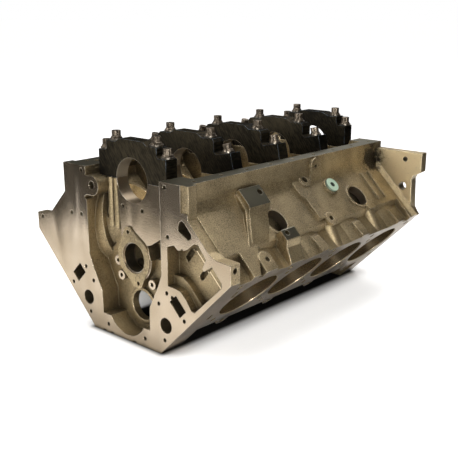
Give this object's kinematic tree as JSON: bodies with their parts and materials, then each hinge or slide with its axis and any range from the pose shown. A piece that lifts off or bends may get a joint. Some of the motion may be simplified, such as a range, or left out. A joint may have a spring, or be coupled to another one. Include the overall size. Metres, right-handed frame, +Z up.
{
  "type": "engine block",
  "caption": "Bare cast iron V engine block standing with its steel main caps up: crankcase webs, cylinder banks at right angles, timing recess in front and a bellhousing flange behind.",
  "frame": {"origin": "on the crankshaft axis, in the middle of the third main bearing", "axes": "+Y along the crankshaft from the front face to the bellhousing flange, +Z up, from the decks towards the main caps, as the block stands in the picture; +X to the bank on the right of someone who faces the front"},
  "size_m": [0.485, 0.5536, 0.3465],
  "materials": {
    "cast_iron": "cast, with machined faces",
    "cap_steel": "black oxide, machined",
    "bolt_steel": "black oxide, worn",
    "washer_steel": "dark, satin",
    "bearing_shell": "satin",
    "plug_green": "pale green thread sealer and paint"
  },
  "bodies": {
    "root": {"block_casting": "cast_iron", "main_cap_1": "cap_steel", "main_cap_2": "cap_steel", "main_cap_3": "cap_steel", "main_cap_4": "cap_steel", "main_cap_5": "cap_steel", "cap_1_inner_bolts": "bolt_steel", "cap_2_inner_bolts": "bolt_steel", "cap_3_inner_bolts": "bolt_steel", "cap_4_inner_bolts": "bolt_steel", "cap_5_inner_bolts": "bolt_steel", "cap_1_outer_bolts": "bolt_steel", "cap_2_outer_bolts": "bolt_steel", "cap_3_outer_bolts": "bolt_steel", "cap_4_outer_bolts": "bolt_steel", "cap_5_outer_bolts": "bolt_steel", "cap_1_washers": "washer_steel", "cap_2_washers": "washer_steel", "cap_3_washers": "washer_steel", "cap_4_washers": "washer_steel", "cap_5_washers": "washer_steel", "cam_bearing_1": "bearing_shell", "cam_bearing_2": "bearing_shell", "cam_bearing_3": "bearing_shell", "cam_bearing_4": "bearing_shell", "cam_bearing_5": "bearing_shell", "drain_plug": "plug_green"}
  },
  "joints": []
}
